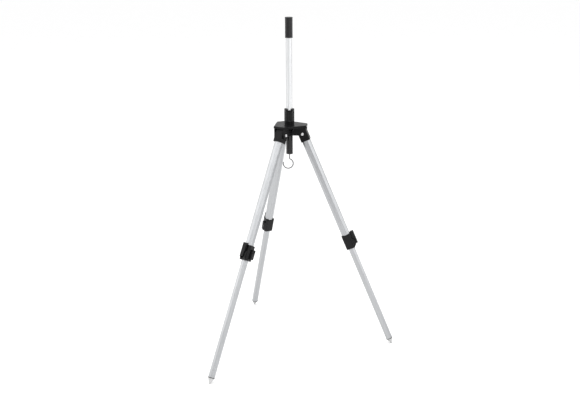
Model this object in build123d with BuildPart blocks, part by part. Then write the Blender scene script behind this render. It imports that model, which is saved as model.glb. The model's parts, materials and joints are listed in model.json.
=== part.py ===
"""Folding tripod stand with a sliding mast: a three-arm hub, telescopic octagonal legs with flip-lever
locks, and a hook under the mast. Millimetres, +Z up, origin on the ground under the mast's axis."""

import os
from math import cos, radians, sin

from build123d import *

os.makedirs("parts", exist_ok=True)

# Stance: azimuth of each leg and its lean from the vertical. The left leg is spread to its stop.
legs = {"left": (-126.8, 27.6), "right": (-6.8, 22.6), "rear": (113.2, 22.6)}
spread_stop = 27.6
pivot_height = 600
pivot_radius = 36.5

# Hub: a hexagonal top plate over three pairs of cheeks and a central barrel.
arm_reach = 46.5
cheek_gap = 25
cheek_thickness = 3.5
plate_top = 623
plate_bottom = 617
hub_bottom = 595
barrel_radius = 17
neck_radius = 13.2
neck_top = 630
thread_radius = 11
thread_top = 649

# Mast, its cap, the twist lock on the hub and the plug that closes the mast's lower end.
mast_radius = 8
mast_wall = 1.2
running_fit = 0.08
mast_bore = mast_radius + running_fit
cap_bottom = 852.4
cap_top = 905.7
cap_radius = 10.25
nut_bottom = neck_top + 0.4
nut_top = 665
nut_radius = 13.5
plug_radius = 9
plug_bottom = 542

# Hook: round wire, a short shank and an open ring.
wire_radius = 1.35
shank_end = 529
ring_radius = 13.4

# Legs: distances along a leg are counted down from its pivot, and out is toward its outer face.
bolt_radius = 3
pin_fit = 0.05
socket_width = cheek_gap - 0.6
socket_depth = 24.4
socket_end = 22
socket_floor = 10
upper_across = 22
upper_wall = 1.2
upper_end = 325
lower_across = 17
lower_wall = 1.1
lower_length = 345
tube_corner = 1.5
bush_height = 12
sliding_gap = 0.3
spike_length = 16.5
foot_ring = 1.5
collar_start = 305
collar_end = 346.5
collar_side = 25.5
lever_out = 22.8
pin_out = 16.6
pin_down = 334
pin_radius = 1.25
screw_out = -4
screw_down = 320.5
screw_radius = 1.75


def finish(piece, name):
    """Label a finished piece and write it."""
    piece.part.label = name
    export_step(piece.part, f"parts/{name}.step")


def leg_plane(azimuth, lean):
    """Plane at a leg's pivot: x along the pivot bolt, y out of the leg's outer face, z down the leg."""
    outward = Vector(1, 0, 0).rotate(Axis.Z, azimuth)
    tangent = Vector(0, 1, 0).rotate(Axis.Z, azimuth)
    down = outward * sin(radians(lean)) - Vector(0, 0, cos(radians(lean)))
    pivot = outward * pivot_radius + Vector(0, 0, pivot_height)
    return Plane(origin=pivot, x_dir=tangent, z_dir=down)


def side_plane(leg, shift=0.0):
    """Plane across the pivot bolt: sketch x points outward, sketch y down the leg."""
    return Plane(origin=leg.from_local_coords((shift, 0, 0)), x_dir=leg.y_dir, z_dir=leg.x_dir)


def face_plane(leg, out):
    """Plane on the leg's outer side: sketch x along the pivot bolt, sketch y down the leg."""
    return Plane(origin=leg.from_local_coords((0, out, 0)), x_dir=leg.x_dir, z_dir=-leg.y_dir)


def down_axis(leg):
    """Axis down a leg."""
    return Axis(leg.origin, leg.z_dir)


def bolt_axis(leg):
    """Axis of a leg's pivot bolt."""
    return Axis(leg.origin, leg.x_dir)


def octagon(across, corner):
    """Octagon with rounded corners, one pair of its flats square to a leg's outward direction."""
    with BuildSketch() as outline:
        RegularPolygon(across / 2, 8, major_radius=False, rotation=22.5)
        fillet(outline.vertices(), corner)
    return outline.sketch


upper_outline = octagon(upper_across, tube_corner)
upper_inside = octagon(upper_across - 2 * upper_wall, tube_corner - upper_wall / 2)
upper_seat = octagon(upper_across + 2 * pin_fit, tube_corner)
lower_outline = octagon(lower_across, tube_corner)
lower_inside = octagon(lower_across - 2 * lower_wall, tube_corner - lower_wall / 2)
lower_passage = octagon(lower_across + 2 * sliding_gap, tube_corner)
bush_outline = octagon(upper_across - 2 * upper_wall - 2 * sliding_gap, tube_corner)
washer_outline = octagon(lower_across + 0.6, tube_corner)


def tube_piece(leg, outline, inside, start, end):
    """Octagonal tube from start to end along a leg."""
    with BuildPart() as tube:
        with BuildSketch(leg.offset(start)):
            add(outline)
            add(inside, mode=Mode.SUBTRACT)
        extrude(amount=end - start)
    return tube


def arm_plane(azimuth):
    """Vertical plane along a hub arm: sketch x outward, sketch y up."""
    return Plane(
        origin=(0, 0, 0),
        x_dir=Vector(1, 0, 0).rotate(Axis.Z, azimuth),
        z_dir=Vector(0, -1, 0).rotate(Axis.Z, azimuth),
    )


# ---- hub ----
plate_overhang = 1
half_arm = cheek_gap / 2 + cheek_thickness
azimuths = [azimuth for azimuth, lean in legs.values()]
plate_corners = [
    Vector(arm_reach + plate_overhang, side * (half_arm + plate_overhang)).rotate(Axis.Z, azimuth)
    for azimuth in azimuths
    for side in (-1, 1)
]
plate_corner = 4
plate_bevel = 1.6
cheek_root = barrel_radius - 9
cheek_outline = [
    (cheek_root, plate_bottom),
    (arm_reach, plate_bottom),
    (arm_reach, 594),
    (42.5, 590),
    (32.5, 590),
    (26, hub_bottom),
    (cheek_root, hub_bottom),
]
rib_thickness = 3
rib_root = barrel_radius - 3
rib_reach = 31
rib_rise = 4
neck_edge = 0.8

with BuildPart() as hub:
    with BuildSketch(Plane.XY.offset(plate_bottom)):
        with BuildLine():
            Polyline(*[(corner.X, corner.Y) for corner in plate_corners], close=True)
        make_face()
    extrude(amount=plate_top - plate_bottom)
    fillet(hub.edges().filter_by(Axis.Z), plate_corner)
    chamfer(hub.faces().sort_by(Axis.Z)[-1].edges(), plate_bevel)
    with BuildSketch(Plane.XY.offset(hub_bottom)):
        Circle(barrel_radius)
    extrude(amount=plate_bottom - hub_bottom)
    for azimuth in azimuths:
        for inner in (cheek_gap / 2, -half_arm):
            cheek = arm_plane(azimuth).offset(inner)
            with BuildSketch(cheek):
                with BuildLine():
                    Polyline(*cheek_outline, close=True)
                make_face()
            extrude(amount=cheek_thickness)
        with BuildSketch(arm_plane(azimuth + 60).offset(-rib_thickness / 2)):
            with BuildLine():
                Polyline(
                    (rib_root, plate_bottom),
                    (rib_reach, plate_bottom),
                    (rib_root, hub_bottom + rib_rise),
                    close=True,
                )
            make_face()
        extrude(amount=rib_thickness)
    with BuildSketch(Plane.XY.offset(plate_top)):
        Circle(neck_radius)
    extrude(amount=neck_top - plate_top)
    fillet(hub.edges().filter_by(GeomType.CIRCLE).group_by(Axis.Z)[-1], neck_edge)
    with BuildSketch(Plane.XY.offset(neck_top)):
        Circle(thread_radius)
    extrude(amount=thread_top - neck_top)
    with BuildSketch(Plane.XY.offset(hub_bottom)):
        Circle(mast_bore)
    extrude(amount=thread_top - hub_bottom, mode=Mode.SUBTRACT)
    for azimuth in azimuths:
        with BuildSketch(arm_plane(azimuth).offset(-half_arm)):
            with Locations((pivot_radius, pivot_height)):
                Circle(bolt_radius)
        extrude(amount=2 * half_arm, mode=Mode.SUBTRACT)
finish(hub, "hub_spider")

# Slotted collet that the lock nut squeezes onto the mast; its top shows in the nut's notch.
collet_bottom = thread_top + 0.2
collet_top = 661.5
collet_foot = 10.8
collet_tip = 9.2
collet_ring = 2.5
collet_slots = 6
slot_length = 6
slot_width = 1.2

with BuildPart() as collet:
    with BuildSketch(Plane.XZ):
        with BuildLine():
            Polyline(
                (mast_bore, collet_bottom),
                (collet_foot, collet_bottom),
                (collet_foot, collet_bottom + collet_ring),
                (collet_tip, collet_top),
                (mast_bore, collet_top),
                close=True,
            )
        make_face()
    revolve(axis=Axis.Z)
    with BuildSketch(Plane.XY.offset(collet_bottom + collet_ring)):
        with PolarLocations(mast_radius + slot_length / 2, collet_slots):
            Rectangle(slot_length, slot_width)
    extrude(amount=collet_top, mode=Mode.SUBTRACT)
finish(collet, "mast_collet")

# ---- twist lock ----
flute_count = 6
first_flute = -90
flute_radius = 10
flute_depth = 1.4
flute_start = nut_bottom + 2
flute_end = nut_top - 3
notch_width = 15.5
notch_depth = 6.5
notch_corner = 5
nut_edge = 0.8
thread_bore = thread_radius + running_fit
collet_room = 0.4

with BuildPart() as nut:
    with BuildSketch(Plane.XZ):
        with BuildLine():
            Polyline(
                (thread_bore, nut_bottom),
                (nut_radius - nut_edge, nut_bottom),
                (nut_radius, nut_bottom + nut_edge),
                (nut_radius, nut_top - nut_edge),
                (nut_radius - nut_edge, nut_top),
                (collet_tip + collet_room, nut_top),
                (collet_tip + collet_room, collet_top - 1),
                (collet_foot + collet_room, collet_bottom + collet_ring),
                (thread_bore, collet_bottom + collet_ring),
                close=True,
            )
        make_face()
    revolve(axis=Axis.Z)
    with BuildSketch(Plane.XY.offset(flute_start)):
        with PolarLocations(nut_radius + flute_radius - flute_depth, flute_count, start_angle=first_flute):
            Circle(flute_radius)
    extrude(amount=flute_end - flute_start, mode=Mode.SUBTRACT)
    with BuildSketch(Plane.XZ.offset(-2 * nut_radius)):
        with Locations((0, nut_top)):
            RectangleRounded(notch_width, 2 * notch_depth, notch_corner)
    extrude(amount=4 * nut_radius, mode=Mode.SUBTRACT)
finish(nut, "mast_lock_nut")

# ---- mast ----
mast_bottom = hub_bottom
cap_crown = 3
cap_round = 1.2
cap_lip = 0.5
mast_top = cap_top - cap_crown

with BuildPart() as mast:
    with BuildSketch(Plane.XY.offset(mast_bottom)):
        Circle(mast_radius)
        Circle(mast_radius - mast_wall, mode=Mode.SUBTRACT)
    extrude(amount=mast_top - mast_bottom)
finish(mast, "mast_tube")

with BuildPart() as cap:
    with BuildSketch(Plane.XY.offset(cap_bottom)):
        Circle(cap_radius)
    extrude(amount=cap_top - cap_bottom)
    fillet(cap.faces().sort_by(Axis.Z)[-1].edges(), cap_round)
    fillet(cap.faces().sort_by(Axis.Z)[0].edges(), cap_lip)
    with BuildSketch(Plane.XY.offset(cap_bottom)):
        Circle(mast_radius)
    extrude(amount=mast_top - cap_bottom, mode=Mode.SUBTRACT)
finish(cap, "mast_cap")

plug_top = hub_bottom - sliding_gap
plug_floor = 4
plug_cavity = 5
plug_edge = 0.8
spigot_length = 18
spigot_top = plug_top + spigot_length

with BuildPart() as plug:
    with BuildSketch(Plane.XY.offset(plug_bottom)):
        Circle(plug_radius)
    extrude(amount=plug_top - sliding_gap - plug_bottom)
    fillet(plug.faces().sort_by(Axis.Z)[0].edges(), plug_edge)
    with BuildSketch(Plane.XY.offset(plug_top - sliding_gap)):
        Circle(mast_radius - mast_wall)
    extrude(amount=spigot_top - plug_top)
    with BuildSketch(Plane.XY.offset(plug_bottom + plug_floor)):
        Circle(plug_cavity)
    extrude(amount=spigot_top, mode=Mode.SUBTRACT)
    with BuildSketch(Plane.XY.offset(plug_bottom)):
        Circle(wire_radius + pin_fit)
    extrude(amount=plug_floor, mode=Mode.SUBTRACT)
finish(plug, "mast_end_plug")

# ---- hook ----
hook_nut_height = 4
hook_nut_radius = 4
hook_nut_lift = 0.2
shank_top = plug_bottom + plug_floor + hook_nut_height + 3
shank_bend = 68
bend_radius = 2
ring_sweep = 265

with BuildPart() as hook:
    with BuildLine(Plane.XZ) as hook_path:
        shank = Line((0, shank_top), (0, shank_end))
        bend = JernArc(start=shank @ 1, tangent=shank % 1, radius=bend_radius, arc_size=shank_bend)
        JernArc(start=bend @ 1, tangent=bend % 1, radius=ring_radius, arc_size=-ring_sweep)
    with BuildSketch(Plane(origin=(0, 0, shank_top), z_dir=(0, 0, -1))):
        Circle(wire_radius)
    sweep(path=hook_path.line)
finish(hook, "hook")

with BuildPart() as hook_nut:
    with BuildSketch(Plane.XY.offset(plug_bottom + plug_floor + hook_nut_lift)):
        RegularPolygon(hook_nut_radius, 6)
        Circle(wire_radius, mode=Mode.SUBTRACT)
    extrude(amount=hook_nut_height)
finish(hook_nut, "hook_nut")


# ---- legs ----
nose_length = 4.8
heel = (-2, -socket_depth / 2)
heel_bulge = (-0.38 * socket_depth, -0.325 * socket_depth)
socket_bevel = 1.6
panel_width = 16
panel_length = 22
panel_down = 5
panel_depth = 0.4


def leg_socket(leg):
    """Moulded head that swings on the bolt; its flat nose meets the top plate at the spread stop."""
    stop = radians(spread_stop)
    half = socket_depth / 2
    nose_start = Vector(sin(stop), -cos(stop)) * (plate_bottom - pivot_height - sliding_gap)
    nose_end = nose_start + Vector(cos(stop), sin(stop)) * nose_length
    with BuildPart() as socket:
        with BuildSketch(side_plane(leg, -socket_width / 2)):
            with BuildLine():
                Polyline(
                    (half, socket_end),
                    (half, nose_end.Y + 1),
                    (nose_end.X - 0.4, nose_end.Y),
                    (nose_start.X, nose_start.Y),
                    heel,
                )
                ThreePointArc(heel, heel_bulge, (-half, 0))
                Polyline((-half, 0), (-half, socket_end), (half, socket_end))
            make_face()
        extrude(amount=socket_width)
        upright = socket.edges().filter_by(down_axis(leg))
        chamfer(upright.group_by(Axis(leg.origin, leg.y_dir))[-1], socket_bevel)
        with BuildSketch(leg.offset(socket_floor)):
            add(upper_seat)
        extrude(amount=socket_end, mode=Mode.SUBTRACT)
        with BuildSketch(side_plane(leg, -socket_width / 2)):
            Circle(bolt_radius + pin_fit)
        extrude(amount=socket_width, mode=Mode.SUBTRACT)
        with BuildSketch(face_plane(leg, half)):
            with Locations((0, panel_down)):
                RectangleRounded(panel_width, panel_length, 2)
        extrude(amount=panel_depth, mode=Mode.SUBTRACT)
    return socket


collar_corner = 6
collar_bevel = 0.8
lever_half = 4.8
ear_gap = 0.4
ear_thickness = 2.6
ear_outline = [(12, 321), (16, 323), (18.8, 328), (18.8, 338.5), (12, 345.6)]
boss_face = 18.5
boss_root = 10.5
boss_depth = 12
boss_start = 315
boss_end = 341
head_well = 3.4
window_width = 13.6
window_length = 13.6
pad_width = 13
pad_length = 13
pad_thickness = 3


def leg_collar(leg):
    """Lock body on the upper tube's end, with ears for the lever and a boss for the fixing screw."""
    with BuildPart() as collar:
        with BuildSketch(leg.offset(collar_start)):
            RectangleRounded(collar_side, collar_side, collar_corner)
        extrude(amount=collar_end - collar_start)
        chamfer(collar.faces().sort_by(down_axis(leg))[0].edges(), collar_bevel)
        chamfer(collar.faces().sort_by(down_axis(leg))[-1].edges(), collar_bevel)
        for start in (-lever_half - ear_gap - ear_thickness, lever_half + ear_gap):
            with BuildSketch(side_plane(leg, start)):
                with BuildLine():
                    Polyline(*ear_outline, close=True)
                make_face()
            extrude(amount=ear_thickness)
        with BuildSketch(leg.offset(boss_start)):
            with Locations(((boss_face + boss_root) / 2, screw_out)):
                RectangleRounded(boss_face - boss_root, boss_depth, 2)
        extrude(amount=boss_end - boss_start)
        with BuildSketch(leg.offset(collar_start)):
            add(upper_seat)
        extrude(amount=upper_end - collar_start, mode=Mode.SUBTRACT)
        with BuildSketch(leg.offset(upper_end)):
            add(lower_passage)
        extrude(amount=collar_end - upper_end, mode=Mode.SUBTRACT)
        with BuildSketch(face_plane(leg, collar_side / 2 + 1)):
            with Locations((0, pin_down)):
                RectangleRounded(window_width, window_length, 0.5)
        extrude(amount=(collar_side - lower_across) / 2 + 2, mode=Mode.SUBTRACT)
        with BuildSketch(side_plane(leg, -window_width)):
            with Locations((pin_out, pin_down)):
                Circle(pin_radius)
        extrude(amount=2 * window_width, mode=Mode.SUBTRACT)
        with BuildSketch(side_plane(leg, boss_face)):
            with Locations((screw_out, screw_down)):
                Circle(screw_head_radius + sliding_gap)
        extrude(amount=-head_well, mode=Mode.SUBTRACT)
        with BuildSketch(side_plane(leg, boss_face)):
            with Locations((screw_out, screw_down)):
                Circle(screw_radius)
        extrude(amount=upper_across / 2 - boss_face, mode=Mode.SUBTRACT)
    return collar


screw_head_radius = 3.1
screw_head_height = 2.2
screw_tip = upper_across / 2 + 0.1
screw_seat = boss_face - head_well
recess_length = 3.6
recess_width = 0.7
recess_depth = 1


def collar_screw(leg):
    """Pan-head screw in the collar's boss, bearing on the upper tube."""
    with BuildPart() as screw:
        with BuildSketch(side_plane(leg, screw_tip)):
            with Locations((screw_out, screw_down)):
                Circle(screw_radius)
        extrude(amount=screw_seat - screw_tip)
        with BuildSketch(side_plane(leg, screw_seat)):
            with Locations((screw_out, screw_down)):
                Circle(screw_head_radius)
        extrude(amount=screw_head_height)
        with BuildSketch(side_plane(leg, screw_seat + screw_head_height)):
            with Locations((screw_out, screw_down)):
                Rectangle(recess_length, recess_width)
                Rectangle(recess_width, recess_length)
        extrude(amount=-recess_depth, mode=Mode.SUBTRACT)
    return screw


def clamp_pad(leg):
    """Pad in the collar's window that the lever's cam presses on the lower tube."""
    with BuildPart() as pad:
        with BuildSketch(face_plane(leg, lower_across / 2 + sliding_gap)):
            with Locations((0, pin_down)):
                RectangleRounded(pad_width, pad_length, 0.5)
        extrude(amount=-pad_thickness)
    return pad


def lever_pin(leg):
    """Steel pin through both ears of the collar."""
    half_pin = lever_half + ear_gap + ear_thickness - 0.4
    with BuildPart() as pin:
        with BuildSketch(side_plane(leg, -half_pin)):
            with Locations((pin_out, pin_down)):
                Circle(pin_radius)
        extrude(amount=2 * half_pin)
        chamfer(pin.edges().filter_by(GeomType.CIRCLE), 0.3)
    return pin


cam_radius = 4.4
lever_inside = 13.2
lever_top = 301
lever_outline = [
    (lever_inside, lever_top),
    (lever_out - 0.6, lever_top + 0.8),
    (lever_out, lever_top + 3),
    (lever_out, pin_down + 4.2),
    (pin_out + 1, pin_down + 4),
    (pin_out - 3, pin_down + 2),
    (lever_inside, pin_down - 3),
]


def flip_lever(leg):
    """Cam lever: a round cam on the pin and a deep finger block that lies along the collar."""
    with BuildPart() as lever:
        with BuildSketch(side_plane(leg, -lever_half)):
            with Locations((pin_out, pin_down)):
                Circle(cam_radius)
            with BuildLine():
                Polyline(*lever_outline, close=True)
            make_face()
        extrude(amount=2 * lever_half)
        fillet(lever.edges().filter_by(bolt_axis(leg)).group_by(down_axis(leg))[0], 1)
        with BuildSketch(side_plane(leg, -lever_half)):
            with Locations((pin_out, pin_down)):
                Circle(pin_radius + pin_fit)
        extrude(amount=2 * lever_half, mode=Mode.SUBTRACT)
    return lever


bush_root = 15
bush_bore = 4


def guide_bush(leg, top):
    """Plug in the lower tube's top end; its wide head runs inside the upper tube."""
    with BuildPart() as bush:
        with BuildSketch(leg.offset(top - bush_height)):
            add(bush_outline)
        extrude(amount=bush_height)
        with BuildSketch(leg.offset(top)):
            add(lower_inside)
        extrude(amount=bush_root)
        with BuildSketch(leg.offset(top - bush_height)):
            Circle(bush_bore)
        extrude(amount=bush_height + bush_root, mode=Mode.SUBTRACT)
    return bush


def foot_washer(leg, start):
    """Dark ring between the lower tube's end and the spike."""
    with BuildPart() as washer:
        with BuildSketch(leg.offset(start)):
            add(washer_outline)
            add(lower_inside, mode=Mode.SUBTRACT)
        extrude(amount=foot_ring)
    return washer


spike_root = 14
spike_radius = 8
spike_tip = 1
spike_shoulder = 1.5


def foot_spike(leg, start):
    """Spike: a root inside the lower tube, then a turned cone that runs down to a small point."""
    base = start + foot_ring
    with BuildPart() as spike:
        with BuildSketch(leg.offset(start - spike_root)):
            add(lower_inside)
        extrude(amount=spike_root + foot_ring)
        with BuildSketch(side_plane(leg)):
            with BuildLine():
                Polyline(
                    (0, base),
                    (spike_radius, base),
                    (spike_radius, base + spike_shoulder),
                    (spike_tip, base + spike_length),
                    (0, base + spike_length),
                    close=True,
                )
            make_face()
        revolve(axis=down_axis(leg))
    return spike


for side, (azimuth, lean) in legs.items():
    leg = leg_plane(azimuth, lean)
    tip_distance = pivot_height / cos(radians(lean))
    lower_end = tip_distance - spike_length - foot_ring
    lower_top = lower_end - lower_length
    finish(leg_socket(leg), f"leg_socket_{side}")
    finish(tube_piece(leg, upper_outline, upper_inside, socket_floor, upper_end), f"upper_tube_{side}")
    finish(leg_collar(leg), f"lock_collar_{side}")
    finish(collar_screw(leg), f"collar_screw_{side}")
    finish(clamp_pad(leg), f"clamp_pad_{side}")
    finish(lever_pin(leg), f"lever_pin_{side}")
    finish(flip_lever(leg), f"flip_lever_{side}")
    finish(tube_piece(leg, lower_outline, lower_inside, lower_top, lower_end), f"lower_tube_{side}")
    finish(guide_bush(leg, lower_top), f"guide_bush_{side}")
    finish(foot_washer(leg, lower_end), f"foot_washer_{side}")
    finish(foot_spike(leg, lower_end), f"foot_spike_{side}")


# ---- pivot bolts ----
def bolt_plane(azimuth, shift):
    """Plane across a pivot bolt's axis, at a distance along it from the arm's middle."""
    leg = leg_plane(azimuth, 0)
    return Plane(origin=leg.from_local_coords((shift, 0, 0)), x_dir=(0, 0, 1), z_dir=leg.x_dir)


head_radius = 4.2
head_height = 3
head_taper = 18
nut_height = 3
dome_height = 1.6
dome_taper = 25

with BuildPart() as bolts:
    for azimuth in azimuths:
        with BuildSketch(bolt_plane(azimuth, -half_arm - nut_height)):
            Circle(bolt_radius)
        extrude(amount=2 * half_arm + nut_height)
        with BuildSketch(bolt_plane(azimuth, half_arm)):
            Circle(head_radius)
        extrude(amount=head_height, taper=head_taper)
finish(bolts, "pivot_bolts")

with BuildPart() as nuts:
    for azimuth in azimuths:
        with BuildSketch(bolt_plane(azimuth, -half_arm - nut_height)):
            RegularPolygon(head_radius, 6)
            Circle(bolt_radius, mode=Mode.SUBTRACT)
        extrude(amount=nut_height)
        with BuildSketch(bolt_plane(azimuth, -half_arm - nut_height)):
            Circle(head_radius - 0.7)
        extrude(amount=-dome_height, taper=dome_taper)
finish(nuts, "pivot_nuts")
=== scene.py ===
import json
import math

import bmesh
import bpy
from mathutils import Euler, Matrix, Vector


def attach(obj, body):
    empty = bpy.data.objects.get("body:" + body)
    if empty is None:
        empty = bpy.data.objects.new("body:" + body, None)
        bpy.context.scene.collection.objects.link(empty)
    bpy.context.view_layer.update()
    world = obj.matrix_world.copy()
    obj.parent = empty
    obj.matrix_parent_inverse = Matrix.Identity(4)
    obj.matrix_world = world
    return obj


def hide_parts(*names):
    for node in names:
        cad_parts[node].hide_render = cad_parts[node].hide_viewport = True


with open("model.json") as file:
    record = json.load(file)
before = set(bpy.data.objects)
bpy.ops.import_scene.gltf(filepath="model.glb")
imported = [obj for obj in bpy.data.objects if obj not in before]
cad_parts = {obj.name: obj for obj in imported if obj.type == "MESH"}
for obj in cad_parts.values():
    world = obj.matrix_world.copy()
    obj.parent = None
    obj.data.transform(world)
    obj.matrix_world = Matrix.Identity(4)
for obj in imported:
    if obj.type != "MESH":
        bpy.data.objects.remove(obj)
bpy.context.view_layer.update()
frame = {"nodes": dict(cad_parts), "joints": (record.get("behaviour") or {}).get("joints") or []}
nodes = frame["nodes"]
joints = {joint["name"]: joint for joint in frame["joints"]}
sides = ("left", "right", "rear")
mm = 0.001
print("frame loaded,", len(nodes), "cad nodes")


# Places: matrices that take millimetres in a piece's own axes to the frame.
def legPlace(side):
    # x along the pivot bolt, y out of the leg's outer face, z down the leg, from the pivot
    fold = joints[side + "_leg_fold"]
    along = Vector(fold["axis"])
    down = Vector(joints[side + "_leg_extend"]["axis"])
    axes = Matrix((along, down.cross(along), down)).transposed().to_4x4()
    return Matrix.Translation(fold["pos_m"]) @ axes @ Matrix.Scale(mm, 4)


def armPlace(side):
    # x along the pivot bolt, y out along the hub's arm, z up, from the pivot
    fold = joints[side + "_leg_fold"]
    along = Vector(fold["axis"])
    up = Vector((0, 0, 1))
    axes = Matrix((along, along.cross(-up), up)).transposed().to_4x4()
    return Matrix.Translation(fold["pos_m"]) @ axes @ Matrix.Scale(mm, 4)


def across(place, origin, axis):
    # the same place moved to an origin, with z turned onto one of its axes
    turn = Vector((0, 0, 1)).rotation_difference(Vector(axis)).to_matrix().to_4x4()
    return place @ Matrix.Translation(origin) @ turn


standPlace = Matrix.Scale(mm, 4)


# Mesh makers, all in millimetres
def softOutline(corners, radius, steps=5):
    # a closed outline, listed anticlockwise, with every corner rounded
    points = []
    for k, corner in enumerate(corners):
        here = Vector(corner)
        back = (Vector(corners[k - 1]) - here).normalized()
        ahead = (Vector(corners[(k + 1) % len(corners)]) - here).normalized()
        half = back.angle(ahead) / 2
        middle = here + (back + ahead).normalized() * radius / math.sin(half)
        start = here + back * radius / math.tan(half) - middle
        sweep = math.pi - 2 * half
        for step in range(steps + 1):
            points.append(tuple(middle + Matrix.Rotation(sweep * step / steps, 2) @ start))
    return points


def softOctagon(flats, corner):
    # flats is the width across them
    reach = flats / 2 / math.cos(math.pi / 8)
    corners = [(reach * math.cos(a), reach * math.sin(a))
               for a in (math.pi / 8 + math.pi / 4 * k for k in range(8))]
    return softOutline(corners, corner)


def circle(radius, turns):
    return [(radius * math.cos(a), radius * math.sin(a))
            for a in (2 * math.pi * k / turns for k in range(turns))]


def level(points, z):
    return [(x, y, z) for x, y in points]


def skin(rings, endsMeet=False):
    # quads between equal rings; the two ends are closed, or joined to each other
    count = len(rings[0])
    verts = [point for ring in rings for point in ring]
    faces = []
    for row in range(len(rings) if endsMeet else len(rings) - 1):
        for k in range(count):
            a, b = row * count + k, row * count + (k + 1) % count
            faces.append([v % len(verts) for v in (a, b, b + count, a + count)])
    if not endsMeet:
        faces.append(list(range(count))[::-1])
        faces.append(list(range(len(verts) - count, len(verts))))
    return verts, faces


def lathe(profile, turns=64):
    return skin([level(circle(radius, turns), z) for radius, z in profile])


def prism(outline, low, high):
    # an outline in y and z, pushed along x
    return skin([[(x, y, z) for y, z in outline] for x in (low, high)])


def bentWire(path, radius, turns=20):
    # round wire along a path in the x and z plane, with rounded ends
    endRows, firstRow = 4, 0.15  # rings that close an end, and how far the first is past the tip
    rings = []
    for k, point in enumerate(path):
        before, after = Vector(path[max(k - 1, 0)]), Vector(path[min(k + 1, len(path) - 1)])
        heading = (after - before).normalized()
        inward = min(k, len(path) - 1 - k)
        thin = 1.0
        if inward < endRows:
            thin = math.sin(math.acos(max(0.0, 1 - (inward + firstRow) / endRows)))
        side = Vector((heading.y, -heading.x)) * radius * thin
        rings.append([(point[0] + side.x * math.cos(a), radius * thin * math.sin(a),
                       point[1] + side.y * math.cos(a))
                      for a in (2 * math.pi * t / turns for t in range(turns))])
    return skin(rings)


def makeObject(name, shape, place):
    verts, faces = shape
    mesh = bpy.data.meshes.new(name)
    mesh.from_pydata([place @ Vector(v) for v in verts], [], faces)
    work = bmesh.new()
    work.from_mesh(mesh)
    bmesh.ops.recalc_face_normals(work, faces=work.faces)
    work.to_mesh(mesh)
    work.free()
    obj = bpy.data.objects.new(name, mesh)
    bpy.context.scene.collection.objects.link(obj)
    return obj


def fromNode(name, node):
    # the solid's own faces, with its loose triangles joined into clean ones
    samePoint, sameFace = 0.001 * mm, math.radians(0.5)
    work = bmesh.new()
    work.from_mesh(nodes[node].data)
    bmesh.ops.remove_doubles(work, verts=work.verts, dist=samePoint)
    bmesh.ops.dissolve_limit(work, angle_limit=sameFace, verts=work.verts, edges=work.edges)
    mesh = bpy.data.meshes.new(name)
    work.to_mesh(mesh)
    work.free()
    obj = bpy.data.objects.new(name, mesh)
    bpy.context.scene.collection.objects.link(obj)
    return obj


def settle(obj):
    # the modifiers' result becomes the mesh
    graph = bpy.context.evaluated_depsgraph_get()
    fresh = bpy.data.meshes.new_from_object(obj.evaluated_get(graph))
    obj.modifiers.clear()
    obj.data = fresh


def combine(obj, others, way):
    for other in others:
        step = obj.modifiers.new(way.lower(), "BOOLEAN")
        step.operation = way
        step.solver = "EXACT"
        step.object = other
    settle(obj)
    for other in others:
        bpy.data.objects.remove(other)


def merged(pieces, name):
    # several loose shapes as one piece
    work = bmesh.new()
    for piece in pieces:
        work.from_mesh(piece.data)
        bpy.data.objects.remove(piece)
    mesh = bpy.data.meshes.new(name)
    work.to_mesh(mesh)
    work.free()
    obj = bpy.data.objects.new(name, mesh)
    bpy.context.scene.collection.objects.link(obj)
    return obj


def soften(obj, width, angle=30):
    # rounded edges, as a mould or a deburring leaves them
    edges = obj.modifiers.new("edges", "BEVEL")
    edges.width = width * mm
    edges.segments = 2
    edges.limit_method = "ANGLE"
    edges.angle_limit = math.radians(angle)
    edges.use_clamp_overlap = False
    edges.miter_outer = "MITER_ARC"
    settle(obj)


def finishPiece(obj, body, slot, finish, *stoodFor, sharp=40):
    # shading, finish, the body it moves with and the nodes it stands for
    obj.data.shade_smooth()
    obj.data.set_sharp_from_angle(angle=math.radians(sharp))
    weighted = obj.modifiers.new("normals", "WEIGHTED_NORMAL")
    weighted.keep_sharp = True
    settle(obj)
    obj.data.materials.clear()
    obj.data.materials.append(finish)
    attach(obj, body)
    if stoodFor:
        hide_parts(*stoodFor)
    return obj


# Finishes
def emptyMaterial(name):
    mat = bpy.data.materials.new(name)
    mat.use_nodes = True
    tree = mat.node_tree
    tree.nodes.clear()
    shader = tree.nodes.new("ShaderNodeBsdfPrincipled")
    out = tree.nodes.new("ShaderNodeOutputMaterial")
    tree.links.new(shader.outputs[0], out.inputs["Surface"])
    return mat, tree, shader


def coordinates(tree, place, stretch):
    # frame position turned into a piece's own axes, then stretched, in repeats per metre
    source = tree.nodes.new("ShaderNodeTexCoord")
    toPiece = place.normalized().inverted()
    turned = tree.nodes.new("ShaderNodeMapping")
    turned.inputs["Location"].default_value = toPiece.translation
    turned.inputs["Rotation"].default_value = toPiece.to_euler()
    scaled = tree.nodes.new("ShaderNodeMapping")
    scaled.inputs["Scale"].default_value = stretch
    tree.links.new(source.outputs["Object"], turned.inputs["Vector"])
    tree.links.new(turned.outputs[0], scaled.inputs["Vector"])
    return scaled.outputs[0]


def noise(tree, vector, detail=3.0, roughness=0.55):
    field = tree.nodes.new("ShaderNodeTexNoise")
    field.inputs["Scale"].default_value = 1.0
    field.inputs["Detail"].default_value = detail
    field.inputs["Roughness"].default_value = roughness
    tree.links.new(vector, field.inputs["Vector"])
    return field.outputs["Fac"]


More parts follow.
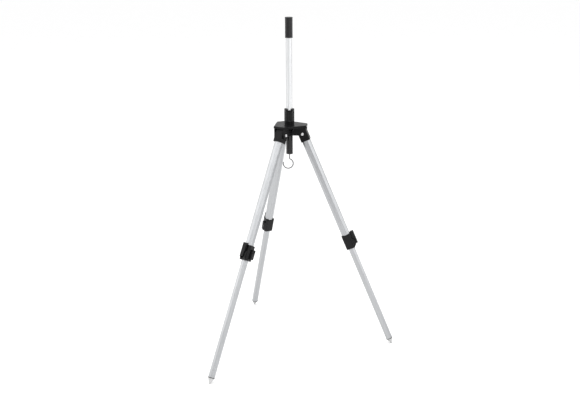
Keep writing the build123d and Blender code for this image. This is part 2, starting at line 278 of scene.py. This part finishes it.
def spread(tree, value, low, high, fromLow=0.3, fromHigh=0.7):
    step = tree.nodes.new("ShaderNodeMapRange")
    step.inputs["From Min"].default_value = fromLow
    step.inputs["From Max"].default_value = fromHigh
    step.inputs["To Min"].default_value = low
    step.inputs["To Max"].default_value = high
    tree.links.new(value, step.inputs["Value"])
    return step.outputs["Result"]


def times(tree, a, b):
    step = tree.nodes.new("ShaderNodeMath")
    step.operation = "MULTIPLY"
    tree.links.new(a, step.inputs[0])
    tree.links.new(b, step.inputs[1])
    return step.outputs[0]


def tint(tree, factor, dark, light):
    mix = tree.nodes.new("ShaderNodeMix")
    mix.data_type = "RGBA"
    tree.links.new(factor, mix.inputs["Factor"])
    mix.inputs[6].default_value = (*dark, 1)
    mix.inputs[7].default_value = (*light, 1)
    return mix.outputs[2]


def bump(tree, shader, height, depth):
    step = tree.nodes.new("ShaderNodeBump")
    step.inputs["Strength"].default_value = 1.0
    step.inputs["Distance"].default_value = depth * mm
    tree.links.new(height, step.inputs["Height"])
    tree.links.new(step.outputs[0], shader.inputs["Normal"])


# the edge mask for a lighter edge colour, which is partly wear and partly a painted highlight
def edgeWearAndHighlight(tree, width):
    # 1 along outer and inner edges, 0 on flats, by how far the rounded normal leaves the face's own
    edgeDot, flatDot = 0.75, 0.98
    rounded = tree.nodes.new("ShaderNodeBevel")
    rounded.samples = 4
    rounded.inputs["Radius"].default_value = width * mm
    flat = tree.nodes.new("ShaderNodeNewGeometry")
    compare = tree.nodes.new("ShaderNodeVectorMath")
    compare.operation = "DOT_PRODUCT"
    tree.links.new(rounded.outputs[0], compare.inputs[0])
    tree.links.new(flat.outputs["Normal"], compare.inputs[1])
    return spread(tree, compare.outputs["Value"], 1.0, 0.0, edgeDot, flatDot)


# How often each pattern repeats in a metre along x, y and z
drawing = {"alongLines": 6, "streaks": (240, 240, 3), "faintest": 0.35, "cloud": (60, 60, 25)}
turning = {"acrossRings": 30, "faintestRing": 0.4, "scuffs": (700, 700, 700), "faintestScuff": 0.5}
moulding = {"flow": (45, 45, 70), "patches": (160, 160, 160), "patchFrom": 0.35, "patchTo": 0.65}


def drawnMetal(name, look, place):
    # anodised tube: fine lines along z, broad faint streaks, and cloudy sheen
    mat, tree, shader = emptyMaterial(name)
    lines = (look["lines"], look["lines"], drawing["alongLines"])
    fine = noise(tree, coordinates(tree, place, lines), 2)
    broad = noise(tree, coordinates(tree, place, drawing["streaks"]), 3)
    cloud = noise(tree, coordinates(tree, place, drawing["cloud"]), 4)
    broadStreaks = spread(tree, broad, drawing["faintest"], 1.0)
    streaks = times(tree, spread(tree, fine, 0.0, 1.0), broadStreaks)
    colour = tint(tree, streaks, look["dark"], look["light"])
    tree.links.new(colour, shader.inputs["Base Color"])
    shader.inputs["Metallic"].default_value = 1.0
    tree.links.new(spread(tree, cloud, *look["roughness"]), shader.inputs["Roughness"])
    rim = look["rim"]  # how bright the tube's sides turn
    shader.inputs["Specular Tint"].default_value = (rim, rim, rim, 1)
    bump(tree, shader, fine, look["lineDepth"])
    return mat


def turnedMetal(name, look, place):
    # turned or plated steel: rings round z, a few scuffs
    mat, tree, shader = emptyMaterial(name)
    ringed = (turning["acrossRings"], turning["acrossRings"], look["rings"])
    rings = noise(tree, coordinates(tree, place, ringed), 2)
    scuffs = noise(tree, coordinates(tree, place, turning["scuffs"]), 5, 0.7)
    both = times(tree, spread(tree, rings, turning["faintestRing"], 1.0),
                 spread(tree, scuffs, turning["faintestScuff"], 1.0))
    tree.links.new(tint(tree, both, look["dark"], look["light"]), shader.inputs["Base Color"])
    shader.inputs["Metallic"].default_value = 1.0
    tree.links.new(spread(tree, scuffs, *look["roughness"]), shader.inputs["Roughness"])
    bump(tree, shader, rings, look["lineDepth"])
    return mat


def mouldedPlastic(name, look):
    # fine spark-eroded grain, faint flow marks, and edges made lighter in patches, partly as wear
    # and partly as a painted highlight
    mat, tree, shader = emptyMaterial(name)
    grain = noise(tree, coordinates(tree, standPlace, (look["grain"],) * 3), 3, 0.6)
    flow = noise(tree, coordinates(tree, standPlace, moulding["flow"]), 4, 0.6)
    patches = noise(tree, coordinates(tree, standPlace, moulding["patches"]), 3, 0.6)
    patchy = spread(tree, patches, 0.0, 1.0, moulding["patchFrom"], moulding["patchTo"])
    # painted highlight mixed with wear: the edges turn lighter in patches
    wornAndLitEdge = times(tree, edgeWearAndHighlight(tree, look["edge"]), patchy)
    body = tint(tree, spread(tree, flow, 0.0, 1.0), look["dark"], look["light"])
    mix = tree.nodes.new("ShaderNodeMix")
    mix.data_type = "RGBA"
    tree.links.new(wornAndLitEdge, mix.inputs["Factor"])
    tree.links.new(body, mix.inputs[6])
    mix.inputs[7].default_value = (*look["wornAndLitEdge"], 1)
    tree.links.new(mix.outputs[2], shader.inputs["Base Color"])
    tree.links.new(spread(tree, flow, *look["roughness"]), shader.inputs["Roughness"])
    shader.inputs["Specular IOR Level"].default_value = look["specular"]
    bump(tree, shader, grain, look["grainDepth"])
    return mat


aluminium = {
    "leg": {"dark": (0.35, 0.357, 0.367), "light": (0.48, 0.487, 0.497), "roughness": (0.27, 0.38),
            "lines": 2600, "lineDepth": 0.003, "rim": 1.0},
    "mast": {"dark": (0.68, 0.69, 0.70), "light": (0.80, 0.805, 0.81), "roughness": (0.36, 0.46),
             "lines": 2200, "lineDepth": 0.002, "rim": 0.4},
}
steel = {
    "bolt": {"dark": (0.42, 0.42, 0.43), "light": (0.70, 0.70, 0.70), "roughness": (0.20, 0.34),
             "rings": 2200, "lineDepth": 0.004},
    "screw": {"dark": (0.020, 0.020, 0.021), "light": (0.055, 0.055, 0.057),
              "roughness": (0.34, 0.50), "rings": 2200, "lineDepth": 0.003},
    "wire": {"dark": (0.07, 0.07, 0.075), "light": (0.16, 0.16, 0.165), "roughness": (0.22, 0.38),
             "rings": 300, "lineDepth": 0.003},
    "spike": {"dark": (0.40, 0.40, 0.40), "light": (0.60, 0.60, 0.60), "roughness": (0.30, 0.44),
              "rings": 2600, "lineDepth": 0.006},
}
# each finish's lighter edge colour is partly wear and partly a painted highlight
plastic = {
    "hub": {"dark": (0.0022, 0.0022, 0.0025), "light": (0.0055, 0.0055, 0.006),
            "wornAndLitEdge": (0.04, 0.04, 0.043), "roughness": (0.24, 0.38),
            "specular": 0.13, "grain": 2600, "grainDepth": 0.03, "edge": 0.7},
    "lock": {"dark": (0.002, 0.002, 0.0023), "light": (0.0052, 0.0053, 0.0058),
             "wornAndLitEdge": (0.036, 0.036, 0.038), "roughness": (0.22, 0.34),
             "specular": 0.2, "grain": 2800, "grainDepth": 0.03, "edge": 0.6},
    "cap": {"dark": (0.0022, 0.0022, 0.0027), "light": (0.0056, 0.0056, 0.0064),
            "wornAndLitEdge": (0.026, 0.026, 0.027), "roughness": (0.22, 0.3),
            "specular": 0.42, "grain": 3400, "grainDepth": 0.015, "edge": 0.5},
    "nylon": {"dark": (0.62, 0.62, 0.58), "light": (0.74, 0.74, 0.7),
              "wornAndLitEdge": (0.8, 0.8, 0.77), "roughness": (0.4, 0.52),
              "specular": 0.5, "grain": 2200, "grainDepth": 0.02, "edge": 0.4},
    "rubber": {"dark": (0.014, 0.014, 0.014), "light": (0.026, 0.026, 0.025),
               "wornAndLitEdge": (0.05, 0.05, 0.048), "roughness": (0.68, 0.86),
               "specular": 0.25, "grain": 2000, "grainDepth": 0.05, "edge": 0.4},
}

hubPlastic = mouldedPlastic("mouldedBlackHub", plastic["hub"])
lockPlastic = mouldedPlastic("mouldedBlackLock", plastic["lock"])
capPlastic = mouldedPlastic("satinBlackCap", plastic["cap"])
nylon = mouldedPlastic("naturalNylon", plastic["nylon"])
rubber = mouldedPlastic("blackWasher", plastic["rubber"])
mastMetal = drawnMetal("anodisedMast", aluminium["mast"], standPlace)
legMetal = {side: drawnMetal("anodisedLeg." + side, aluminium["leg"], legPlace(side))
            for side in sides}
boltSteel = turnedMetal("platedSteel", steel["bolt"], standPlace)
screwSteel = turnedMetal("blackScrew", steel["screw"], standPlace)
wireSteel = turnedMetal("platedWire", steel["wire"], standPlace)
spikeMetal = {side: turnedMetal("turnedSpike." + side, steel["spike"], legPlace(side))
              for side in sides}
print("finishes made")


# Legs: places along a leg are counted down from its pivot bolt, out is toward its outer face
upperTube = {"across": 22, "wall": 1.2, "corner": 1.5, "start": 10, "end": 325}
lowerTube = {"across": 17, "wall": 1.1, "corner": 1.5, "length": 345}
rimBurr = 0.25  # what deburring takes off a tube's ends
foot = {"spike": 16.5, "ring": 1.5, "radius": 8, "shoulder": 1.5, "tip": 1, "root": 14,
        "rootRadius": 7.3, "edge": 0.4, "edgeHeight": 0.3, "land": 0.2, "grooves": (3.2, 5.6),
        "grooveHalf": 0.5, "grooveDepth": 0.35, "grooveFloor": 0.15, "point": 0.7,
        "pointSide": 0.25, "pointFlat": 0.6}


def lowerEnd(side):
    # where the lower tube stops, so that the spike's point is on the ground
    down = Vector(joints[side + "_leg_extend"]["axis"])
    height = Vector(joints[side + "_leg_fold"]["pos_m"]).z / mm
    return -height / down.z - foot["spike"] - foot["ring"]


def legTube(name, side, tube, start, end):
    flats, wall, corner = tube["across"], tube["wall"], tube["corner"]
    full = softOctagon(flats, corner)
    rim = softOctagon(flats - 2 * rimBurr, corner - rimBurr)
    bore = softOctagon(flats - 2 * wall, corner - wall / 2)
    rings = [level(bore, start), level(rim, start), level(full, start + rimBurr)]
    rings += [level(full, end - rimBurr), level(rim, end), level(bore, end)]
    return makeObject(name, skin(rings, endsMeet=True), legPlace(side))


def footSpike(side):
    # cone with two shallow turned grooves and a small rounded point
    base = lowerEnd(side) + foot["ring"]
    tip = base + foot["spike"]
    radius, shoulder = foot["radius"], foot["shoulder"]
    slope = (radius - foot["tip"]) / (foot["spike"] - shoulder)
    profile = [(foot["rootRadius"], base - foot["ring"] - foot["root"]), (foot["rootRadius"], base),
               (radius - foot["edge"], base), (radius, base + foot["edgeHeight"]),
               (radius, base + shoulder - foot["land"])]
    half, deep, floor = foot["grooveHalf"], foot["grooveDepth"], foot["grooveFloor"]
    for down in foot["grooves"]:
        here = radius - slope * (down - shoulder)
        profile += [(here + slope * half, base + down - half), (here - deep, base + down - floor),
                    (here - deep, base + down + floor), (here - slope * half, base + down + half)]
    profile += [(foot["tip"] + slope * foot["point"], tip - foot["point"]),
                (foot["tip"], tip - foot["pointSide"]), (foot["tip"] * foot["pointFlat"], tip)]
    return makeObject("footSpike." + side, lathe(profile), legPlace(side))


for side in sides:
    leg, lower = side + "_leg", side + "_lower"
    tube = legTube("upperTube." + side, side, upperTube, upperTube["start"], upperTube["end"])
    finishPiece(tube, leg, "leg_aluminium", legMetal[side], "upper_tube_" + side, sharp=60)
    end = lowerEnd(side)
    tube = legTube("lowerTube." + side, side, lowerTube, end - lowerTube["length"], end)
    finishPiece(tube, lower, "leg_aluminium", legMetal[side], "lower_tube_" + side, sharp=60)
    finishPiece(footSpike(side), lower, "spike_metal", spikeMetal[side], "foot_spike_" + side)
print("leg tubes and spikes built")

# Mast, its cap, its lower plug, the twist lock and the hook
fineTurns = 96  # sides of the round pieces that stand in plain view
mast = {"radius": 8, "wall": 1.2, "bottom": 595, "top": 902.7, "burr": 0.3}
tubeBore, burr = mast["radius"] - mast["wall"], mast["burr"]
profile = [(tubeBore, mast["bottom"]), (mast["radius"] - burr, mast["bottom"]),
           (mast["radius"], mast["bottom"] + burr), (mast["radius"], mast["top"] - burr),
           (mast["radius"] - burr, mast["top"]), (tubeBore, mast["top"])]
rings = [level(circle(radius, fineTurns), z) for radius, z in profile]
mastTube = makeObject("mastTube", skin(rings, endsMeet=True), standPlace)
finishPiece(mastTube, "mast", "mast_aluminium", mastMetal, "mast_tube")

quarter = [math.radians(15 * step) for step in range(7)]  # a rounded edge's steps
cap = {"radius": 10.25, "bottom": 852.4, "top": 905.7, "round": 1.3, "gap": 0.02, "lip": 1.6,
       "lipDepth": 0.25, "lipEdge": 0.3, "crown": 2.2, "crownEdge": 2.6, "gate": 0.5,
       "gateEdge": 0.55, "gateDepth": 0.3, "gateCentre": 0.5}
edge, socket = cap["radius"] - cap["lipDepth"], mast["radius"] + cap["gap"]
lipTop, crown = cap["bottom"] + cap["lip"], cap["top"] - cap["round"]
profile = [(socket, mast["top"]), (socket, cap["bottom"]),
           (edge, cap["bottom"]), (cap["radius"], cap["bottom"] + cap["lipEdge"]),
           (cap["radius"], lipTop), (edge, lipTop + cap["lipEdge"]),
           (edge, crown - cap["crownEdge"]), (cap["radius"], crown - cap["crown"])]
for turn in quarter:
    profile.append((cap["radius"] - cap["round"] * (1 - math.cos(turn)),
                    cap["top"] - cap["round"] * (1 - math.sin(turn))))
profile += [(cap["radius"] * cap["gateEdge"], cap["top"]),
            (cap["radius"] * cap["gate"], cap["top"] - cap["gateDepth"]),
            (cap["gateCentre"], cap["top"] - cap["gateDepth"])]
mastCap = makeObject("mastCap", lathe(profile, fineTurns), standPlace)
finishPiece(mastCap, "mast", "cap_plastic", capPlastic, "mast_cap")

plug = {"radius": 9, "bottom": 542, "top": 594.4, "spigot": 6.8, "spigotTop": 612.4, "round": 0.9,
        "mouth": 1.4, "mouthDepth": 0.4, "face": 0.5, "edge": 0.3, "bore": 5,
        "grooveBottom": (2.4, 2.1), "grooveTop": (1.7, 1.4)}
waist = plug["radius"] - plug["edge"]
profile = [(plug["mouth"], plug["bottom"] + plug["mouthDepth"]),
           (plug["radius"] - plug["round"] - plug["face"], plug["bottom"])]
for turn in quarter:
    profile.append((plug["radius"] - plug["round"] * (1 - math.sin(turn)),
                    plug["bottom"] + plug["round"] * (1 - math.cos(turn))))
profile += [(plug["radius"], plug["top"] - plug["grooveBottom"][0]),
            (waist, plug["top"] - plug["grooveBottom"][1]),
            (waist, plug["top"] - plug["grooveTop"][0]),
            (plug["radius"], plug["top"] - plug["grooveTop"][1]),
            (plug["radius"], plug["top"] - plug["edge"]), (waist, plug["top"]),
            (plug["spigot"], plug["top"]), (plug["spigot"], plug["spigotTop"]),
            (plug["bore"], plug["spigotTop"])]
endPlug = makeObject("mastEndPlug", lathe(profile, fineTurns), standPlace)
finishPiece(endPlug, "mast", "cap_plastic", capPlastic, "mast_end_plug")

lock = {"radius": 13.5, "bottom": 630.4, "top": 665, "edge": 0.9, "flutes": 6, "fluteDepth": 1.4,
        "fluteHalf": 21, "fluteBottom": 632.2, "fluteTop": 662.4, "fluteEnd": 5,
        "notch": 15.5, "notchDepth": 6.5, "notchRound": 5, "turns": 180, "rows": 40,
        "thread": 11.1, "seat": 11.2, "seatHeight": 651.7, "mouth": 9.6, "mouthBottom": 663.5}


def lockRadius(turn, z):
    # wide scallops round the sleeve, with rounded ends
    step = 360 / lock["flutes"]
    off = (math.degrees(turn) + 90 + step / 2) % step - step / 2
    wave = 0.5 + 0.5 * math.cos(math.pi * min(1.0, abs(off) / lock["fluteHalf"]))
    near = min(z - lock["fluteBottom"], lock["fluteTop"] - z) / lock["fluteEnd"]
    fade = max(0.0, min(1.0, near))
    return lock["radius"] - lock["fluteDepth"] * wave * fade * (2 - fade)


turns, rows = lock["turns"], lock["rows"]
low, high, edge = lock["bottom"], lock["top"], lock["edge"]
heights = [low + edge * (1 - math.cos(math.radians(a))) for a in (0, 30, 60, 90)]
heights += [low + edge + (high - low - 2 * edge) * k / rows for k in range(1, rows)]
heights += [high - edge * (1 - math.cos(math.radians(a))) for a in (90, 60, 30, 0)]
thread, mouth = circle(lock["thread"], turns), circle(lock["mouth"], turns)
rings = [level(thread, lock["seatHeight"]), level(thread, low)]
for z in heights:
    near = min(z - low, high - z)
    inset = edge - math.sqrt(max(0.0, edge ** 2 - max(0.0, edge - near) ** 2))
    ring = []
    for a in (2 * math.pi * k / turns for k in range(turns)):
        reach = lockRadius(a, z) - inset
        ring.append((reach * math.cos(a), reach * math.sin(a), z))
    rings.append(ring)
rings += [level(mouth, high), level(mouth, lock["mouthBottom"]),
          level(circle(lock["seat"], turns), lock["seatHeight"])]
sleeve = makeObject("lockNut", skin(rings, endsMeet=True), standPlace)
width, depth = lock["notch"] / 2, lock["notchDepth"]
corners = [(-width, high - depth), (width, high - depth),
           (width, high + depth), (-width, high + depth)]
outline = softOutline(corners, lock["notchRound"], 8)
past = 20  # from front to back, well outside the sleeve
cutter = skin([[(x, y, z) for x, z in outline] for y in (-past, past)])
combine(sleeve, [makeObject("notch", cutter, standPlace)], "DIFFERENCE")
finishPiece(sleeve, "lock_nut", "hub_plastic", lockPlastic, "mast_lock_nut", sharp=35)

hookWire = {"radius": 1.35, "top": 553, "end": 529, "shankSteps": 20, "stepDegrees": 4, "tip": 0.3,
            "bend": 2, "bendTurn": 68, "ring": 13.4, "ringTurn": 265}
shank, steps = hookWire["top"] - hookWire["end"], hookWire["shankSteps"]
path = [(0.0, hookWire["top"] - shank * k / steps) for k in range(steps + 1)]
heading, here = Vector((0, -1)), Vector((0, hookWire["end"]))
# a small bend one way, then the ring the other way
for radius, total, way in ((hookWire["bend"], hookWire["bendTurn"], 1),
                           (hookWire["ring"], hookWire["ringTurn"], -1)):
    count = max(8, int(total / hookWire["stepDegrees"]))
    middle = here + Vector((-heading.y, heading.x)) * radius * way
    start = here - middle
    for k in range(1, count + 1):
        turn = Matrix.Rotation(way * math.radians(total * k / count), 2)
        path.append(tuple(middle + turn @ start))
    here = Vector(path[-1])
    heading = Matrix.Rotation(way * math.radians(total), 2) @ heading
last, before = Vector(path[-1]), Vector(path[-2])
path += [tuple(last + (last - before).normalized() * k * hookWire["tip"]) for k in (1, 2)]
wire = makeObject("hookWire", bentWire(path, hookWire["radius"]), standPlace)
finishPiece(wire, "hook", "hook_wire", wireSteel, "hook", sharp=60)
print("mast, twist lock and hook built")

# Pivot bolts and nuts: a domed head on one cheek, an acorn nut on the other
bolt = {"radius": 3, "cheek": 16, "head": 4.2, "headHeight": 3, "headSide": 0.7, "turns": 48}
nut = {"reach": 4.6, "height": 3, "round": 0.4, "chamfer": 0.5, "top": 0.9, "dome": 3.8,
       "domeHeight": 1.6, "domeSunk": 0.1, "domeRoot": 0.6}
domeSteps = [math.radians(10 * k) for k in range(9)]
corners = [(nut["reach"] * math.cos(a), nut["reach"] * math.sin(a))
           for a in (math.pi / 3 * k for k in range(6))]
hexagon = softOutline(corners, nut["round"], 2)
cheek, headSide = bolt["cheek"], bolt["headSide"]
headRise = bolt["headHeight"] - headSide
nutTop = cheek + nut["height"]
head = [(bolt["radius"], -nutTop), (bolt["radius"], cheek), (bolt["head"], cheek)]
head += [(bolt["head"] * math.cos(a), cheek + headSide + headRise * math.sin(a)) for a in domeSteps]
flank = [level(hexagon, cheek), level(hexagon, nutTop - nut["chamfer"]),
         level([(x * nut["top"], y * nut["top"]) for x, y in hexagon], nutTop)]
acorn = [(nut["dome"], nutTop - nut["domeRoot"])]
acorn += [(nut["dome"] * math.cos(a), nutTop - nut["domeSunk"] + nut["domeHeight"] * math.sin(a))
          for a in domeSteps]
heads, acorns = [], []
for side in sides:
    headPlace = across(armPlace(side), (0, 0, 0), (1, 0, 0))
    nutPlace = across(armPlace(side), (0, 0, 0), (-1, 0, 0))
    heads.append(makeObject("boltHead", lathe(head, bolt["turns"]), headPlace))
    acorns.append(makeObject("nutFlank", skin(flank), nutPlace))
    acorns.append(makeObject("nutDome", lathe(acorn, bolt["turns"]), nutPlace))
finishPiece(merged(heads, "pivotBolts"), "hub", "bright_steel", boltSteel, "pivot_bolts")
finishPiece(merged(acorns, "pivotNuts"), "hub", "bright_steel", boltSteel, "pivot_nuts")

# Flip levers: finger grooves across the top half of the block
grip = {"out": 22.8, "first": 305, "pitch": 3.4, "count": 5, "radius": 1.1, "above": 0.5,
        "turns": 20, "half": 6, "edge": 0.3}
# Collar screws: pan heads with a cross recess
screw = {"out": -4, "down": 320.5, "seat": 15.1, "head": 3.1, "height": 2.2, "side": 0.8,
         "shank": 1.75, "tip": 11.1, "recess": 3.6, "slot": 0.7, "deep": 1, "turns": 40}
top = screw["seat"] + screw["height"]
panHead = [(screw["shank"], screw["tip"]), (screw["shank"], screw["seat"]),
           (screw["head"], screw["seat"])]
panHead += [(screw["head"] * math.cos(a),
             screw["seat"] + screw["side"] + (screw["height"] - screw["side"]) * math.sin(a))
            for a in (math.radians(12 * k) for k in range(7))]
for side in sides:
    lever = fromNode("flipLever." + side, "flip_lever_" + side)
    grooves = []
    for k in range(grip["count"]):
        down = grip["first"] + grip["pitch"] * k
        outline = [(grip["out"] + grip["above"] + out, down + along)
                   for out, along in circle(grip["radius"], grip["turns"])]
        groove = prism(outline, -grip["half"], grip["half"])
        grooves.append(makeObject("groove", groove, legPlace(side)))
    combine(lever, grooves, "DIFFERENCE")
    soften(lever, grip["edge"], 35)
    finishPiece(lever, side + "_lever", "lock_plastic", lockPlastic, "flip_lever_" + side)

    headPlace = across(legPlace(side), (0, screw["out"], screw["down"]), (1, 0, 0))
    pan = makeObject("collarScrew." + side, lathe(panHead, screw["turns"]), headPlace)
    for wide, tall in ((screw["recess"], screw["slot"]), (screw["slot"], screw["recess"])):
        corners = [(x * wide / 2, y * tall / 2) for x, y in ((-1, -1), (1, -1), (1, 1), (-1, 1))]
        slotShape = skin([level(corners, top - screw["deep"]), level(corners, top + 1)])
        combine(pan, [makeObject("slot", slotShape, headPlace)], "DIFFERENCE")
    finishPiece(pan, side + "_leg", "black_zinc", screwSteel, "collar_screw_" + side)
print("fasteners and levers built")

# Mouldings whose edges only need rounding, with the width of it
for node, width in (("hub_spider", 0.6), ("mast_collet", 0.2)):
    piece = fromNode(node + ".soft", node)
    soften(piece, width)
    finishPiece(piece, "hub", "hub_plastic", hubPlastic, node)
for side in sides:
    for stem, slot, finish, width, body in (
        ("leg_socket_", "hub_plastic", hubPlastic, 0.6, "_leg"),
        ("lock_collar_", "lock_plastic", lockPlastic, 0.35, "_leg"),
        ("clamp_pad_", "lock_plastic", lockPlastic, 0.2, "_leg"),
        ("foot_washer_", "washer_rubber", rubber, 0.2, "_lower"),
        ("guide_bush_", "bush_plastic", nylon, 0.3, "_lower"),
    ):
        piece = fromNode(stem + side + ".soft", stem + side)
        soften(piece, width)
        finishPiece(piece, side + body, slot, finish, stem + side)
print("plastic parts softened")

# Pieces shown as their own solids: the hook's nut and the lever pins
for node, obj in nodes.items():
    if obj.hide_render:
        continue
    obj.data.materials.clear()
    obj.data.materials.append(screwSteel if node.startswith("lever_pin_") else boltSteel)

# Floor, light and camera
# the grey of the floor's front and its range are painted shade
studio = {"floor": 30, "thick": (-20, -0.02), "white": 0.92, "mottle": 0.02, "shadeGrey": 0.74,
          "shadeFrom": -0.7, "shadeTo": -1.5, "front": 0.84, "round": 0.95, "zenith": 1.5,
          "ceilingFrom": 0.25, "ceilingTo": 0.75}

disc = circle(studio["floor"] / mm, 96)
floorMesh = makeObject("floor", skin([level(disc, z) for z in studio["thick"]]), standPlace)
floorMaterial, tree, shader = emptyMaterial("paleFloor")
mottle = noise(tree, coordinates(tree, standPlace, (6, 6, 6)), 3)
where = tree.nodes.new("ShaderNodeTexCoord")
whereParts = tree.nodes.new("ShaderNodeSeparateXYZ")
tree.links.new(where.outputs["Object"], whereParts.inputs[0])
# painted shade: the floor's colour turns grey well in front of the stand, standing in for the dim
# front of the room, where only the metal sees it
fade = spread(tree, whereParts.outputs["Y"], 0.0, 1.0, studio["shadeTo"], studio["shadeFrom"])
speckle = tint(tree, mottle, (studio["white"],) * 3, (studio["white"] + studio["mottle"],) * 3)
mix = tree.nodes.new("ShaderNodeMix")
mix.data_type = "RGBA"
tree.links.new(fade, mix.inputs["Factor"])
mix.inputs[6].default_value = (*((studio["shadeGrey"],) * 3), 1)
tree.links.new(speckle, mix.inputs[7])
tree.links.new(mix.outputs[2], shader.inputs["Base Color"])
shader.inputs["Roughness"].default_value = 0.9
shader.inputs["Specular IOR Level"].default_value = 0.1
floorMesh.data.materials.append(floorMaterial)

world = bpy.data.worlds.new("studio")
bpy.context.scene.world = world
world.use_nodes = True
tree = world.node_tree
tree.nodes.clear()
direction = tree.nodes.new("ShaderNodeTexCoord")
parts = tree.nodes.new("ShaderNodeSeparateXYZ")
tree.links.new(direction.outputs["Generated"], parts.inputs[0])
# dim room behind the camera, white cove elsewhere, and a brighter ceiling
horizon = spread(tree, parts.outputs["Y"], studio["front"], studio["round"], -0.9, 0.0)
height = spread(tree, parts.outputs["Z"], 0.0, 1.0, studio["ceilingFrom"], studio["ceilingTo"])
sky = tree.nodes.new("ShaderNodeMix")
tree.links.new(height, sky.inputs["Factor"])
tree.links.new(horizon, sky.inputs[2])
sky.inputs[3].default_value = studio["zenith"]
glow = tree.nodes.new("ShaderNodeBackground")
tree.links.new(sky.outputs[0], glow.inputs["Strength"])
out = tree.nodes.new("ShaderNodeOutputWorld")
tree.links.new(glow.outputs[0], out.inputs["Surface"])

softboxes = {
    "top": {"at": (-0.3, -0.4, 2.6), "size": 2.2, "power": 30},
    "left": {"at": (-2.4, -0.5, 1.5), "size": 1.7, "power": 12.5},
    "right": {"at": (2.4, -0.7, 1.0), "size": 1.5, "power": 9.5},
    "front": {"at": (0.5, -2.6, 2.1), "size": 1.5, "power": 13},
    "low": {"at": (0.75, -2.35, 0.62), "size": 0.9, "power": 2.6},
}
aim = Vector((0, 0, 0.45))  # the middle of the stand
for name, box in softboxes.items():
    lamp = bpy.data.lights.new(name + "Softbox", "AREA")
    lamp.shape = "SQUARE"
    lamp.size = box["size"]
    lamp.energy = box["power"]
    holder = bpy.data.objects.new(lamp.name, lamp)
    holder.location = box["at"]
    holder.rotation_euler = (aim - Vector(box["at"])).to_track_quat("-Z", "Y").to_euler()
    bpy.context.scene.collection.objects.link(holder)

view = {"at": (0.0004, -2.5275, 1.1316), "pitch": 15.9, "roll": -0.35, "lens": 59.6}
camera = bpy.data.cameras.new("camera")
camera.lens = view["lens"]
camera.sensor_width = 36
cameraHolder = bpy.data.objects.new("camera", camera)
pitch = Euler((math.radians(90 - view["pitch"]), 0, 0)).to_matrix()
tilt = pitch @ Matrix.Rotation(math.radians(view["roll"]), 3, "Z")
cameraHolder.matrix_world = Matrix.Translation(view["at"]) @ tilt.to_4x4()
bpy.context.scene.collection.objects.link(cameraHolder)
bpy.context.scene.camera = cameraHolder
bpy.context.scene.view_settings.view_transform = "Standard"
print("studio set")
